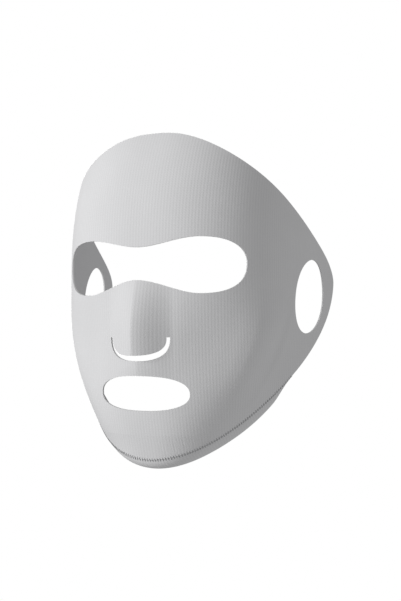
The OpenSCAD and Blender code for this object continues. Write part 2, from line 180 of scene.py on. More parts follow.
class MaskWindows(bpy.types.PropertyGroup):
    """Openings and the nose slit."""

    eye_arc: length("Eye window arc", 0.0584, "Arc from the median to the window's outer end")
    lobe_arc: length("Lobe arc", 0.033, "Arc from the median to the widest part of a lobe")
    lobe_top: length("Lobe top", 0.015, "Height of a lobe's upper edge")
    lobe_low: length("Lobe depth", 0.0142, "Depth of a lobe's lower edge")
    bridge_top: length("Bridge top", 0.0102, "Height of the window's upper edge on the median")
    bridge_low: length("Bridge depth", 0.0072, "Depth of the window's lower edge on the median")
    eye_end_z: length("Eye end height", 0.0014, "Height of the window's outer ends")
    slit_arc: length("Slit arc", 0.0174, "Arc from the median to the slit's outer edge")
    slit_drop: length("Slit depth", 0.0123, "Depth of the slit's outer edge below the bend line")
    slit_w: length("Slit width", 0.0029, "Width of the slit at its lowest point")
    slit_end_w: length("Slit end width", 0.0016, "Width of the slit at its ends")
    mouth_arc: length("Mouth arc", 0.0264, "Arc from the median to a corner of the mouth window")
    mouth_half_h: length("Mouth half height", 0.0092, "Half the height of the mouth window")
    mouth_z: length("Mouth height", -0.0658, "Height of the mouth window's centre")
    ear_arc: length("Ear arc", 0.1143, "Arc from the median to an ear opening's centre")
    ear_z: length("Ear height", -0.0136, "Height of an ear opening's centre")
    ear_half_w: length("Ear half width", 0.016, "Half the width of an ear opening")
    ear_half_h: length("Ear half length", 0.0222, "Half the length of an ear opening")
    ear_lean: angle("Ear lean", 30, "Lean of an ear opening's top towards the back")


class MaskCloth(bpy.types.PropertyGroup):
    """The laminate, its mesh and its folds."""

    outer_t: length("Outer knit", 0.0003, "Thickness of the outer knit")
    core_t: length("Bonded core", 0.0003, "Thickness of the bonded core")
    lining_t: length("Lining knit", 0.0002, "Thickness of the lining knit")
    spacing: length("Spacing", 0.0013, "Distance between neighbouring points of the cloth")
    edge_spacing: length("Edge spacing", 0.0009, "Distance between points along a cut edge")
    fold_top_arc: length("Fold top arc", 0.072, "Arc of the wing fold at the top edge")
    fold_jaw_arc: length("Fold jaw arc", 0.0984, "Arc of the wing fold at the jaw edge")
    fold_margin: length("Fold margin", 0.014, "Cloth in front of the fold that is worked with the wing")
    bend_before: length("Bend before", 0.005, "How far in front of the fold the cloth starts to bend")
    bend_after: length("Bend after", 0.007, "How far behind the fold the cloth stops bending")
    flap_bend: length("Flap bend", 0.005, "Height over which the nose flap bends")


class MaskChin(bpy.types.PropertyGroup):
    """The under-chin panel and its seam."""

    reach: length("Reach", 0.033, "How far the panel reaches back from the chin seam")
    rear_rise: length("Rear rise", 0.001, "Rise of the panel's rear edge above the chin seam")
    belly: length("Belly", 0.012, "How far the panel bellies below the seam")
    butt_gap: length("Butt gap", 0.0003, "Gap between the two butted edges at the seam")
    end_gap: length("End gap", 0.0015, "How far the panel stops short of the wing fold")
    last: share("Last share", 0.985, "Share of the jaw seam that the panel's outer column reaches")
    stitch_pitch: length("Stitch pitch", 0.0018, "Stitch distance in the source. The visible rows are closer")
    stitch_reach: length("Stitch reach", 0.001, "How far a stitch reaches on each side of the seam")
    thread_d: length("Thread", 0.00035, "Thickness of the thread")


class MaskFinish(bpy.types.PropertyGroup):
    """Colours and knit."""

    knit: colour("Outer knit", (0.80, 0.80, 0.81), "Colour of the outer knit")
    core: colour("Bonded core", (0.88, 0.88, 0.88), "Colour of the bonded core at the cut edges")
    lining: colour("Lining knit", (0.74, 0.74, 0.75), "Colour of the lining knit")
    # Partly painted shade: the thread's light grey is set darker to stand in for the shade of the dimples at
    # the needle holes
    thread: colour("Seam thread", (0.46, 0.46, 0.47), "Colour of the seam threads")
    wale: length("Wale", 0.0017, "Width of one column of knit loops")
    course: length("Course", 0.0013, "Height of one row of knit loops")
    relief: length("Relief", 0.00005, "How far the knit loops stand proud")


class MaskStudio(bpy.types.PropertyGroup):
    """Camera, floor and light."""

    yaw: angle("Yaw", 23.8, "Camera's turn about the mask, from straight in front")
    rise: angle("Rise", -2.5, "Camera's rise above the horizon")
    distance: length("Distance", 0.457, "Distance from the camera to the origin")
    across: length("Across", -0.0321, "Offset of the view's middle to the right of the origin")
    above: length("Above", 0.0176, "Offset of the view's middle above the origin")
    lens: share("Lens", 52.8, "Focal length, on a sensor 36 mm along the view's long side")
    floor_z: length("Floor", -0.22, "Height of the studio floor")
    key: share("Key light", 10.4, "Power of the soft key light")
    low: share("Low light", 1.5, "Power of the weak light from low behind the mask's left")
    fill: share("Fill", 0.31, "Strength of the light from all round")


GROUPS = {
    "outline": MaskOutline,
    "form": MaskForm,
    "windows": MaskWindows,
    "cloth": MaskCloth,
    "chin": MaskChin,
    "finish": MaskFinish,
    "studio": MaskStudio,
}


def sizes(group):
    """The values of one property group of the scene."""
    return getattr(bpy.context.scene, "mask_" + group)


# --- curves ------------------------------------------------------------------------------------


def ease(t):
    """Smooth step: 0 up to t = 0, 1 from t = 1, and 3t^2 - 2t^3 between."""
    t = np.clip(t, 0, 1)
    return t * t * (3 - 2 * t)


def mix(a, b, t):
    return a + (b - a) * t


def bow(t, power):
    """Superellipse: the height left at distance t from the middle, for half sizes of 1."""
    return np.maximum(0, 1 - np.minimum(1, np.abs(t)) ** power) ** (1 / power)


def rounded_slope(a, slope, size, power):
    """Rise of a line that starts level and rounds into a slope."""
    return slope * ((a**power + size**power) ** (1 / power) - size)


def unit(v):
    return v / np.linalg.norm(v, axis=-1, keepdims=True)


def rise_and_fall(z):
    """Share of the crown's height and share of the chin's depth at height z."""
    outline = sizes("outline")
    return np.maximum(z, 0) / outline.crown_h, np.maximum(-z, 0) / outline.chin_h


# --- the moulded surface -----------------------------------------------------------------------


def turning(z):
    """Arc over which the cloth turns, and the angle it turns through. Both shrink with the square
    of the height towards the crown and the chin."""
    form = sizes("form")
    up, down = rise_and_fall(z)
    arc = form.round_arc * (1 - form.crown_narrow * up**2 - form.chin_narrow * down**2)
    turn = form.wrap_angle - form.crown_unwrap * up**2 - form.chin_unwrap * down**2
    return arc, turn


def heading(a, z):
    """Angle between the cloth and straight across at arc a. The turning is partly even and partly
    eased. A raised cosine of the cheek's height blends it with two eased turns and a flat between
    them."""
    form = sizes("form")
    arc, turn = turning(z)
    t = np.minimum(1, a / arc)
    share_of_cheek = form.cheek_form * (1 + np.cos(np.pi * np.minimum(1, np.abs(z / form.cheek_z - 1)))) / 2
    first, last = ease((t - FIRST_TURN) / (FLAT_START - FIRST_TURN)), ease((t - FLAT_END) / LAST_TURN)
    cheek = mix(last, first, form.cheek_flat)
    return turn * mix(mix(ease(t), t, form.even_turn), cheek, share_of_cheek)


def plan(a, z):
    """Position in plan at arc a: the heading's cosine and sine summed by Simpson's rule while the
    cloth turns, and a straight run after that."""
    arc, turn = turning(z)
    step = np.minimum(a, arc) / (len(SIMPSON) - 1)
    run = np.maximum(a - arc, 0)
    headings = [heading(step * i, z) for i in range(len(SIMPSON))]
    x = sum(w * np.cos(q) for w, q in zip(SIMPSON, headings)) * step / 3
    y = sum(w * np.sin(q) for w, q in zip(SIMPSON, headings)) * step / 3
    return x + run * np.cos(turn), y + run * np.sin(turn)


def setback(z):
    """How far the crown and the chin set back, as powers of their heights."""
    form = sizes("form")
    up, down = rise_and_fall(z)
    return form.crown_lean * up**LEAN_POWER + form.chin_set * down**SET_POWER


def nose(a, z, flap):
    """Height of the nose: a raised cosine with a crease across, eased from the root to the tip.
    Below the bend line only the flap keeps it. The cloth round it falls back to the lip, which
    fades out at the mouth window's lower edge."""
    form, windows = sizes("form"), sizes("windows")
    t = np.minimum(1, a / form.nose_arc)
    wide = mix((1 + np.cos(np.pi * t)) / 2, (1 - t) ** CREASE_POWER, form.nose_crease)
    tall = form.nose_h * ease((form.nose_root_z - z) / (form.nose_root_z - form.nose_tip_z))
    slit_low, lip_low = form.nose_tip_z - windows.slit_drop, windows.mouth_z - windows.mouth_half_h
    lip = form.lip_h * ease((z - lip_low) / (slit_low - lip_low))
    fade = 1 if flap else ease((z - slit_low) / (windows.slit_drop - LIP_START))
    return wide * mix(lip, tall, fade)


def place(s, z, flap=False):
    """Point of the visible face at arc s, negative on the wearer's right, and height z."""
    a = np.abs(s)
    x, y = plan(a, z)
    return np.stack([np.sign(s) * x, y + setback(z) - nose(a, z, flap), z + 0 * s], -1)


def facing(s, z, flap=False):
    """Outward direction: the slope along the arc crossed with the slope along the height."""
    along = place(s + PROBE, z, flap) - place(s - PROBE, z, flap)
    upward = place(s, z + PROBE, flap) - place(s, z - PROBE, flap)
    return unit(np.cross(along, upward))


# --- the cut outline ---------------------------------------------------------------------------


def top_z(a):
    """Top edge: a rounded crown that falls to the rear tip, which it meets upright."""
    outline = sizes("outline")
    fall = rounded_slope(a, outline.temple_fall, outline.crown_round, CROWN_SQUARE)
    upright = np.sqrt(np.maximum(0, 1 - (a / outline.tip_arc) ** TIP_SQUARE))
    return mix(outline.tip_z, outline.crown_h - fall, upright)


def jaw_z(a):
    """Jaw seam: a rounded chin that rises towards the jaw corner."""
    outline = sizes("outline")
    return -outline.chin_h + rounded_slope(a, outline.jaw_rise, outline.jaw_round, JAW_SQUARE)


def bottom_z(a):
    """Bottom edge: the jaw seam, and behind the jaw corner a power curve up to the rear tip."""
    outline = sizes("outline")
    left = np.maximum(0, outline.tip_arc - a) / (outline.tip_arc - outline.jaw_arc)
    rear = mix(outline.tip_z, jaw_z(outline.jaw_arc), left**outline.rear_fullness)
    return np.where(a < outline.jaw_arc, jaw_z(a), rear)


def fold_ends():
    """Lowest and highest point of the wearer's left wing fold."""
    cloth = sizes("cloth")
    arcs = np.array([cloth.fold_jaw_arc, cloth.fold_top_arc])
    edges = np.array([bottom_z(arcs[0]), top_z(arcs[1])])
    return place(arcs, edges)


def fold_arc(z):
    """Arc of the wing fold, which is straight when seen from the side, by Newton's method."""
    cloth = sizes("cloth")
    low, high = fold_ends()
    t = (z - low[2]) / (high[2] - low[2])
    y = mix(low[1], high[1], t)
    a = mix(cloth.fold_jaw_arc, cloth.fold_top_arc, t)
    for _ in range(4):
        a = a + (y - plan(a, z)[1] - setback(z)) / np.sin(heading(a, z))
    return a


def part_arc(z):
    """Arc of the line where the middle of the cloth passes to the piece that holds the wing."""
    return fold_arc(z) - sizes("cloth").fold_margin


def even_steps(curve, step):
    """Points evenly spaced along a curve of (arc, height) points, with its ends kept."""
    pieces = np.linalg.norm(np.diff(curve, axis=0), axis=1)
    run = np.concatenate([[0], np.cumsum(pieces)])
    at = np.linspace(0, run[-1], max(1, round(run[-1] / step)) + 1)
    return np.stack([np.interp(at, run, curve[:, 0]), np.interp(at, run, curve[:, 1])], 1)


def chain(curves, step):
    """Closed loop from curves that each start where the last one ends."""
    return np.vstack([even_steps(c, step)[:-1] for c in curves])


def mirrored(curve):
    """The same curve on the other side of the median, run the other way."""
    return curve[::-1] * (-1, 1)


def part_line():
    """The part line from the bottom edge up to the top edge; its ends are closed in on in steps."""
    low, high = np.array(PART_LINE_GUESS)
    for _ in range(12):
        low, high = bottom_z(part_arc(low)), top_z(part_arc(high))
    z = np.linspace(low, high, FINE)
    return np.stack([part_arc(z), z], 1)


def face_outline(step):
    """Outline of the middle piece: jaw, left part line, crown and right part line."""
    line = part_line()
    jaw = np.linspace(-line[0, 0], line[0, 0], 2 * FINE)
    crown = np.linspace(line[-1, 0], -line[-1, 0], 2 * FINE)
    edges = [np.stack([s, edge(np.abs(s))], 1) for s, edge in ((jaw, jaw_z), (crown, top_z))]
    return chain([edges[0], line, edges[1], mirrored(line)], step)


def wing_outline(step):
    """Outline of the left side piece: bottom edge, top edge and the part line downwards. The
    samples close up on the rear tip, where both edges stand upright."""
    line, tip = part_line(), sizes("outline").tip_arc
    u = np.linspace(0, 1, 2 * FINE) ** 3
    lower = mix(tip, line[0, 0], u[::-1])
    upper = mix(tip, line[-1, 0], u)
    bottom = np.stack([lower, bottom_z(lower)], 1)
    top = np.stack([upper, top_z(upper)], 1)
    return chain([bottom, top, line[::-1]], step)


def superellipse(half_s, half_z, power, start, stop):
    """Stretch of a superellipse round (0, 0), between two angles in turns."""
    q = np.linspace(start, stop, FINE) * 2 * np.pi
    c, s = np.cos(q), np.sin(q)
    return np.stack([
        half_s * np.sign(c) * np.abs(c) ** (2 / power),
        half_z * np.sign(s) * np.abs(s) ** (2 / power),
    ], 1)


def eye_loop(step):
    """Eye window: the bridge widens by an eased step into a lobe that ends as a superellipse."""
    w = sizes("windows")
    q = np.linspace(1, 0, FINE) * np.pi / 2
    a = np.concatenate([mix(w.lobe_arc, w.eye_arc, np.sin(q)), np.linspace(w.lobe_arc, 0, FINE)[1:]])

    def edge(middle, lobe):
        bridge = mix(middle, lobe, ease(a / w.lobe_arc))
        end = mix(w.eye_end_z, lobe, bow((a - w.lobe_arc) / (w.eye_arc - w.lobe_arc), LOBE_SQUARE))
        return np.stack([a, np.where(a < w.lobe_arc, bridge, end)], 1)

    upper, lower = edge(w.bridge_top, w.lobe_top), edge(-w.bridge_low, -w.lobe_low)
    return chain([upper, mirrored(upper), lower * (-1, 1), lower[::-1]], step)


def mouth_loop(step):
    w = sizes("windows")
    return chain([superellipse(w.mouth_arc, w.mouth_half_h, MOUTH_SQUARE, 0, 1)], step) + (0, w.mouth_z)


def flap_half():
    """Half the width of the nose flap along its bend line."""
    w = sizes("windows")
    return w.slit_arc - w.slit_end_w


def nose_loop(step):
    """Room for the nose flap: the slit's outer edge and the bend line."""
    w, half = sizes("windows"), flap_half()
    outer = superellipse(w.slit_arc, w.slit_drop, SLIT_SQUARE, 0.5, 1)
    line = [np.array([[a, 0], [b, 0]]) for a, b in ((w.slit_arc, half), (half, -half), (-half, -w.slit_arc))]
    return chain([outer, *line], step) + (0, sizes("form").nose_tip_z)


def flap_outline(step):
    """Outline of the nose flap: its free edge and the bend line."""
    w, half = sizes("windows"), flap_half()
    free = superellipse(half, w.slit_drop - w.slit_w, SLIT_SQUARE, 0.5, 1)
    return chain([free, np.array([[half, 0], [-half, 0]])], step) + (0, sizes("form").nose_tip_z)


def ear_loop(step):
    """Leaning ellipse round the ear."""
    w = sizes("windows")
    q = np.linspace(0, 2 * np.pi, FINE)
    long = np.outer(w.ear_half_h * np.cos(q), (math.sin(w.ear_lean), math.cos(w.ear_lean)))
    short = np.outer(w.ear_half_w * np.sin(q), (math.cos(w.ear_lean), -math.sin(w.ear_lean)))
    return chain([long + short], step) + (w.ear_arc, w.ear_z)


# --- dividing a flat cut into triangles --------------------------------------------------------


def in_parts(points, work):
    """Applies a function to a long list of points a few thousand at a time."""
    return np.concatenate([work(p) for p in np.array_split(points, len(points) // 4000 + 1)])


def inside(points, loop):
    """Whether each point is in a closed loop: a line from it crosses the loop an odd number of times."""
    a, b = loop, np.roll(loop, -1, 0)
    rise = np.where(a[:, 1] == b[:, 1], 1, b[:, 1] - a[:, 1])

    def work(p):
        x, z = p[:, :1], p[:, 1:]
        spans = (a[:, 1] > z) != (b[:, 1] > z)
        crossing = a[:, 0] + (z - a[:, 1]) * (b[:, 0] - a[:, 0]) / rise
        return (spans & (x < crossing)).sum(1) % 2 == 1

    return in_parts(points, work)


def clear_of(points, edge, gap):
    """Whether each point is at least a gap away from all the points of an edge."""
    def work(p):
        return (((p[:, None] - edge) ** 2).sum(-1) > gap * gap).all(1)

    return in_parts(points, work)


def cut(outline, holes=()):
    """Flat cut as points and triangles: the loops' own points with a staggered grid between them,
    joined by a constrained Delaunay triangulation."""
    spacing = sizes("cloth").spacing
    low, high = outline.min(0), outline.max(0)
    rows = np.arange(math.floor(low[1] / spacing), math.ceil(high[1] / spacing / ROW_RATIO) + 1)
    columns = np.arange(math.floor(low[0] / spacing) - 1, math.ceil(high[0] / spacing) + 1)
    s, z = np.meshgrid(columns * spacing, rows * spacing * ROW_RATIO)
    s = s + spacing / 2 * (rows[:, None] % 2)
    grid = np.stack([s.ravel(), z.ravel()], 1)
    loops = [outline, *holes]
    grid = grid[inside(grid, outline)]
    for hole in holes:
        grid = grid[~inside(grid, hole)]
    grid = grid[clear_of(grid, np.vstack(loops), spacing * EDGE_CLEARANCE)]
    starts = np.cumsum([0] + [len(loop) for loop in loops])
    rims = [
        (int(start + i), int(start + (i + 1) % len(loop)))
        for start, loop in zip(starts, loops)
        for i in range(len(loop))
    ]
    spots = np.vstack([*loops, grid])
    made = delaunay_2d_cdt([Vector(p) for p in spots.tolist()], rims, [], 0, 1e-7)
    spots, triangles = np.array([tuple(p) for p in made[0]]), np.array(made[2])
    middle = spots[triangles].mean(1)
    kept = inside(middle, outline)
    for hole in holes:
        kept &= ~inside(middle, hole)
    triangles = triangles[kept]
    a, b, c = (spots[triangles[:, i]] for i in range(3))
    turned = np.cross(b - a, c - a) < 0
    triangles[turned] = triangles[turned][:, ::-1]
    used, triangles = np.unique(triangles, return_inverse=True)
    return spots[used], triangles.reshape(-1, 3)


def flat_area(spots, triangles):
    a, b, c = (spots[triangles[:, i]] for i in range(3))
    return float(np.abs(np.cross(b - a, c - a)).sum() / 2)


# --- meshes ------------------------------------------------------------------------------------


def rim_edges(triangles):
    """Directed edges that only one triangle uses."""
    edges = np.vstack([triangles[:, [0, 1]], triangles[:, [1, 2]], triangles[:, [2, 0]]])
    count = triangles.max() + 1
    forward, back = edges @ (count, 1), edges @ (1, count)
    return edges[~np.isin(forward, back)]


def new_object(name, points, faces, uv, sharp=()):
    """Smooth mesh object with a UV map in metres; sharp lists pairs of points whose edge is sharp."""
    mesh = bpy.data.meshes.new(name)
    mesh.from_pydata(points.tolist(), [], faces)
    corners = np.zeros(len(mesh.loops), np.int32)
    mesh.loops.foreach_get("vertex_index", corners)
    mesh.uv_layers.new(name="cut").data.foreach_set("uv", uv[corners].astype(np.float32).ravel())
    if len(sharp):
        ends = np.zeros(2 * len(mesh.edges), np.int32)
        mesh.edges.foreach_get("vertices", ends)
        keys = np.sort(ends.reshape(-1, 2)) @ (len(points), 1)
        wanted = np.sort(sharp) @ (len(points), 1)
        mark = mesh.attributes.new("sharp_edge", "BOOLEAN", "EDGE")
        mark.data.foreach_set("value", np.isin(keys, wanted))
    mesh.validate()
    obj = bpy.data.objects.new(name, mesh)
    bpy.context.scene.collection.objects.link(obj)
    return obj


def layer(name, points, normals, triangles, uv, depth, thickness):
    """One layer of the laminate: its outer face at a depth below the visible face, its inner face
    a thickness further in, and a rim along every cut edge."""
    n = len(points)
    both = np.vstack([points - normals * depth, points - normals * (depth + thickness)])
    rim = rim_edges(triangles)
    a, b = rim[:, 0], rim[:, 1]
    band = np.stack([b, a, a + n, b + n], 1)
    faces = [*triangles.tolist(), *(triangles[:, ::-1] + n).tolist(), *band.tolist()]
    return new_object(name, both, faces, np.vstack([uv, uv]), np.vstack([rim, rim + n]))


def layers():
    """Name, depth of the outer face and thickness of each layer, and the slot that picks its material."""
    c = sizes("cloth")
    return (
        ("outer_knit", 0, c.outer_t, "outer_knit"),
        ("core", c.outer_t, c.core_t, "bonded_core"),
        ("lining_knit", c.outer_t + c.core_t, c.lining_t, "lining_knit"),
    )


# --- materials ---------------------------------------------------------------------------------


class Wire:
    """A socket of a shader. Arithmetic on it adds Math nodes."""

    def __init__(self, shader, socket):
        self.shader, self.socket = shader, socket

    def math(self, operation, *values):
        return self.shader.add("ShaderNodeMath", {"operation": operation}, dict(enumerate(values)))

    def __add__(self, other):
        return self.math("ADD", self, other)

    def __radd__(self, other):
        return self.math("ADD", other, self)

    def __sub__(self, other):
        return self.math("SUBTRACT", self, other)

    def __rsub__(self, other):
        return self.math("SUBTRACT", other, self)

    def __mul__(self, other):
        return self.math("MULTIPLY", self, other)

    def __rmul__(self, other):
        return self.math("MULTIPLY", other, self)

    def __truediv__(self, other):
        return self.math("DIVIDE", self, other)

    def __rtruediv__(self, other):
        return self.math("DIVIDE", other, self)

    def __abs__(self):
        return self.math("ABSOLUTE", self)

    def fraction(self):
        return self.math("FRACT", self)

    def cosine(self):
        return self.math("COSINE", self)


class Shader:
    """A material's node tree with a Principled BSDF already joined to its output."""

    def __init__(self, name, preview):
        self.material = bpy.data.materials.new(name)
        self.material.use_nodes = True
        self.material.diffuse_color = (*preview, 1)
        self.tree = self.material.node_tree
        self.tree.nodes.clear()
        self.surface = self.tree.nodes.new("ShaderNodeBsdfPrincipled")
        output = self.tree.nodes.new("ShaderNodeOutputMaterial")
        self.tree.links.new(self.surface.outputs["BSDF"], output.inputs["Surface"])

    def set(self, node, sockets):
        for key, value in sockets.items():
            if isinstance(value, Wire):
                self.tree.links.new(value.socket, node.inputs[key])
            else:
                node.inputs[key].default_value = value

    def add(self, kind, settings=None, sockets=None, output=0):
        """A node of any type: its settings first, then its sockets' values or links."""
        node = self.tree.nodes.new(kind)
        for key, value in (settings or {}).items():
            setattr(node, key, value)
        self.set(node, sockets or {})
        return Wire(self, node.outputs[output])

    def split(self, vector):
        """The first two numbers of a vector."""
        first = self.add("ShaderNodeSeparateXYZ", sockets={"Vector": vector})
        return first, Wire(self, first.socket.node.outputs[1])

    def blend(self, a, b, factor):
        """Mix of two colours, where a factor of 0 gives the first."""
        return self.add("ShaderNodeMix", {"data_type": "RGBA"}, {"Factor": factor, "A": a, "B": b}, "Result")


def scaled(rgb, by):
    """A colour made darker or lighter, opaque."""
    return (*(min(1.0, c * by) for c in rgb), 1)


def knit_material(name, rgb, relief, groove_shade, roughness):
    """Weft knit on the cloth's own UV map: each wale is a column of V-shaped loops, two legs that
    lean away from its middle, and the yarn's brightness varies a little over the cloth. The colour
    is also darker in the grooves between the loops, which is painted shade."""
    f = sizes("finish")
    shader = Shader(name, rgb)
    uv = shader.add("ShaderNodeUVMap", {"uv_map": "cut"})
    u, v = shader.split(uv)
    across = abs((u / f.wale).fraction() - 0.5)
    loops = ((v / f.course + across * LOOP_LEAN) * (2 * math.pi)).cosine() * 0.5 + 0.5
    rib = (across * (2 * math.pi)).cosine() * 0.5 + 0.5
    height = loops * 0.4 + rib * 0.6
    fuzz = shader.add("ShaderNodeTexNoise", {"noise_dimensions": "3D"}, {
        "Vector": uv, "Scale": 1500, "Detail": 3, "Roughness": 0.6})
    cloudy = shader.add("ShaderNodeTexNoise", {"noise_dimensions": "3D"}, {
        "Vector": uv, "Scale": 45, "Detail": 3, "Roughness": 0.5})
    # Painted shade: the loops' height darkens the colour in the grooves; fuzz and cloudy are the yarn's
    # random tone
    shade = height * groove_shade + fuzz * 0.4 + cloudy * 0.3
    tint = shader.blend(scaled(rgb, 0.88), scaled(rgb, 1.1), shade)
    bump = shader.add("ShaderNodeBump", {}, {
        "Strength": 1.0, "Distance": relief, "Height": height + fuzz * 0.7})
    shader.set(shader.surface, {
        "Base Color": tint,
        "Roughness": fuzz * 0.1 + roughness,
        "Normal": bump,
        "Specular IOR Level": 0.25,
        "Sheen Weight": 0.12,
        "Sheen Roughness": 0.5,
    })
    return shader.material


def core_material(name, rgb):
    """Fine open foam: two sizes of pores. The colour is darker in the pores, which is painted shade."""
    shader = Shader(name, rgb)
    where = shader.add("ShaderNodeTexCoord", output="Object")
    pores = shader.add(
        "ShaderNodeTexVoronoi", {"feature": "F1"}, {"Vector": where, "Scale": 4500}, "Distance")
    fine = shader.add("ShaderNodeTexNoise", {}, {"Vector": where, "Scale": 9000, "Detail": 2})
    height = pores * 0.7 + fine * 0.3
    bump = shader.add("ShaderNodeBump", {}, {"Strength": 0.6, "Distance": 0.00005, "Height": height})
    shader.set(shader.surface, {
        # Painted shade: the colour follows the bump's height and is darker in the pores; the fine noise in it
        # is random tone
        "Base Color": shader.blend(scaled(rgb, 0.85), scaled(rgb, 1.05), height),
        "Roughness": 0.95,
        "Normal": bump,
        "Specular IOR Level": 0.15,
    })
    return shader.material


def thread_material(name, rgb):
    """Twisted thread: the twist is a wave along the UV map, whose u runs along the thread and
    whose v runs once round it. The colour is darker in the twist's grooves, which is painted shade."""
    shader = Shader(name, rgb)
    uv = shader.add("ShaderNodeUVMap", {"uv_map": "cut"})
    u, v = shader.split(uv)
    twist = ((u / THREAD_TWIST + v) * (2 * math.pi)).cosine() * 0.5 + 0.5
    bump = shader.add("ShaderNodeBump", {}, {"Strength": 0.8, "Distance": 0.00004, "Height": twist})
    shader.set(shader.surface, {
        # Painted shade: the twist wave darkens the colour in the grooves between the plies
        "Base Color": shader.blend(scaled(rgb, 0.7), scaled(rgb, 1.15), twist),
        "Roughness": 0.6,
        "Normal": bump,
        "Sheen Weight": 0.1,
    })
    return shader.material


def finish_for(slot):
    """The material of one of the slots, made on first use."""
    f = sizes("finish")
    name = "visual_" + slot
    made = bpy.data.materials.get(name)
    if made:
        return made
    if slot == "outer_knit":
        # 0.35 here and 0.2 for the lining set how strongly painted groove shade darkens the knit
        return knit_material(name, f.knit, f.relief, 0.35, 0.82)
    if slot == "lining_knit":
        return knit_material(name, f.lining, f.relief * 0.6, 0.2, 0.86)
    if slot == "bonded_core":
        return core_material(name, f.core)
    return thread_material(name, f.thread)


def finish(obj, slot, *nodes):
    """Gives a piece its material and hides the imported parts that it stands in for."""
    obj.data.materials.append(finish_for(slot))
    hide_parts(*nodes)
    return obj


# --- the mask's pieces -------------------------------------------------------------------------


def cloth_layers(prefix, spots, triangles, side=1, flap=False):
    """The three layers over a flat cut, which is mirrored for the wearer's right side."""
    spots, triangles = spots * (side, 1), triangles[:, ::side]
    points, normals = place(spots[:, 0], spots[:, 1], flap), facing(spots[:, 0], spots[:, 1], flap)
    for name, depth, thickness, slot in layers():
        obj = layer(prefix + name + "_cloth", points, normals, triangles, spots, depth, thickness)
        yield finish(obj, slot, prefix + name)


def declare(obj, spots, triangles):
    """Works out the area of a piece's flat cut; nothing is done with it."""
    area = flat_area(spots, triangles)


def add_face():
    """The middle piece with its three openings, and the nose flap cut apart from it, which keeps the nose's
    full height.
    """
    step = sizes("cloth").edge_spacing
    spots, triangles = cut(face_outline(step), [eye_loop(step), nose_loop(step), mouth_loop(step)])
    flap_spots, flap_triangles = cut(flap_outline(step))
    bend = sizes("form").nose_tip_z
    flaps = list(cloth_layers("nose_flap_", flap_spots, flap_triangles, flap=True))
    for flap in flaps:
        bend - sizes("cloth").flap_bend
        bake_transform(flap)
    for obj, flap in zip(cloth_layers("face_", spots, triangles), flaps):
        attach(obj, "face")
        declare(obj, spots, triangles)


def add_wings():
    """Both side pieces, each with its ear opening. The fold's direction in side view is worked out, but
    nothing uses it.
    """
    cloth = sizes("cloth")
    spots, triangles = cut(wing_outline(cloth.edge_spacing), [ear_loop(cloth.edge_spacing)])
    low, high = fold_ends()
    along = unit((high - low) * (0, 1, 1))
    behind = np.array([0, along[2], -along[1]])
    for name, side in (("left_wing", 1), ("right_wing", -1)):
        for obj in cloth_layers(name + "_", spots, triangles, side):
            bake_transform(obj)
            declare(obj, spots, triangles)


def seam_place(s):
    """Point of the jaw seam, and the direction that continues the face below it."""
    z = jaw_z(np.abs(s))
    along = place(s + PROBE, jaw_z(np.abs(s + PROBE))) - place(s - PROBE, jaw_z(np.abs(s - PROBE)))
    return place(s, z), unit(np.cross(along, facing(s, z)))


def seam_reach():
    """Arc of the jaw seam's end, just short of the wing fold."""
    return sizes("cloth").fold_jaw_arc - sizes("chin").end_gap


def chin_place(f, g):
    """Point of the chin panel. Across, f runs from -1 to 1 between the jaw corners. Back, the
    section is a quadratic curve from the seam, bent by a belly point straight on from the face,
    to a rear edge whose fall-back grows with the square of f. At the corners it is a line."""
    chin, reach = sizes("chin"), seam_reach()
    at_seam, onward = seam_place(f * reach)
    seam = at_seam + onward * chin.butt_gap
    corner = place(np.array(reach), jaw_z(reach))
    front = place(np.array(0.0), jaw_z(0.0))
    rear = np.stack([
        f * corner[0],
        mix(front[1] + chin.reach, corner[1], f * f),
        mix(front[2] + chin.rear_rise, corner[2], f * f),
    ], -1)
    full = seam + onward * (chin.belly * (1 - np.abs(f) ** TAPER_POWER))[..., None]
    straight = ease((np.abs(f) - STRAIGHT_FROM) / (1 - STRAIGHT_FROM))[..., None]
    belly = mix(full, (seam + rear) / 2, straight)
    g = g[..., None]
    return seam * (1 - g) ** 2 + belly * 2 * g * (1 - g) + rear * g * g


def chin_facing(f, g):
    """Outward direction of the chin panel, with one-sided steps at its edges."""
    df, dg = 0.004, 0.02
    across = chin_place(np.minimum(1, f + df), g) - chin_place(np.maximum(-1, f - df), g)
    forward = chin_place(f, np.maximum(0, g - dg)) - chin_place(f, np.minimum(1, g + dg))
    return unit(np.cross(across, forward))


def grid_triangles(rows, columns):
    """Triangles of a grid whose points run along the columns first, anticlockwise seen with
    columns to the right and rows upwards."""
    at = np.arange(rows * columns).reshape(rows, columns)
    a, b, c, d = (q.ravel() for q in (at[:-1, :-1], at[:-1, 1:], at[1:, 1:], at[1:, :-1]))
    return np.vstack([np.stack([a, b, c], 1), np.stack([a, c, d], 1)])


def add_chin():
    """Chin panel: rows run from the rear edge forward to the seam."""
    columns, rows = CHIN_COLUMNS, CHIN_ROWS
    f = sizes("chin").last * np.sin(np.linspace(-1, 1, columns) * np.pi / 2)
    g = np.linspace(1, 0, rows) ** CHIN_CROWDING
    f, g = (q.ravel() for q in np.meshgrid(f, g))
    points, normals = chin_place(f, g), chin_facing(f, g)
    grid = points.reshape(rows, columns, 3)
    across = np.linalg.norm(np.diff(grid[-1], axis=0), axis=1).sum()
    back = np.linalg.norm(np.diff(grid[:, columns // 2], axis=0), axis=1).sum()
    triangles = grid_triangles(rows, columns)
    uv = np.stack([f * across / 2, -g * back], 1)
    a, b, c = (points[triangles[:, i]] for i in range(3))
    area = float(np.linalg.norm(np.cross(b - a, c - a), axis=1).sum() / 2)
    for name, depth, thickness, slot in layers():
        obj = layer("chin_" + name + "_cloth", points, normals, triangles, uv, depth, thickness)
        finish(obj, slot, "chin_" + name)
        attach(obj, "face")


